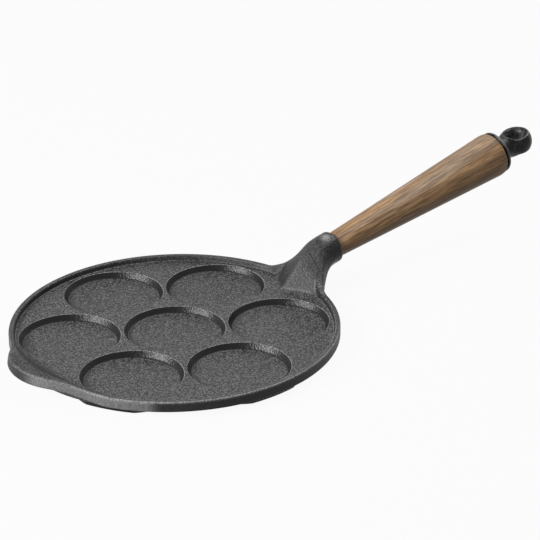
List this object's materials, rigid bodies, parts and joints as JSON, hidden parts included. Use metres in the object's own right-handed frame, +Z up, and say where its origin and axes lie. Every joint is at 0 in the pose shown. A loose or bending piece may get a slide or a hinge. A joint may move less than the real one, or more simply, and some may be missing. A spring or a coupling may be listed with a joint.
{
  "type": "pancake pan",
  "caption": "Round cast-iron pancake pan with shallow round wells, a grip ear opposite the handle, and a turned wooden handle that a threaded rod with a hanging eye holds in the collar",
  "frame": {"origin": "on the flat underside of the boss under the centre well, in the middle of the round plate: the plane that the pan stands on", "axes": "+X from the plate's centre towards the handle, -X towards the grip ear, +Z up out of the wells, +Y to the left seen from the ear; the pan is symmetric about Y = 0"},
  "size_m": [0.4634, 0.23, 0.0745],
  "materials": {
    "cast_iron": "seasoned, pebbled sand-cast grey-black",
    "walnut": "turned and satin-oiled walnut, grain along the handle",
    "black_steel": "satin black",
    "rod_steel": "plain rod, hidden inside the wood"
  },
  "bodies": {
    "pan": {"pan_casting": "cast_iron"},
    "grip": {"handle_grip": "walnut", "end_washer": "black_steel"},
    "eye_bolt": {"hanging_eye": "black_steel", "tie_rod": "rod_steel"}
  },
  "joints": [
    {"name": "grip_slide", "type": "slide", "parent": "pan", "child": "grip", "axis": [0.9826, 0, 0.1857], "range_m": [0, 0.0125]},
    {"name": "eye_turn", "type": "hinge", "parent": "grip", "child": "eye_bolt", "pos_m": [0.143, 0, 0.02885], "axis": [0.9826, 0, 0.1857], "range_deg": [0, 3600]}
  ],
  "couplings": [
    {"joint": "eye_turn", "follows": "grip_slide", "rad_per_m": 5026.5}
  ]
}
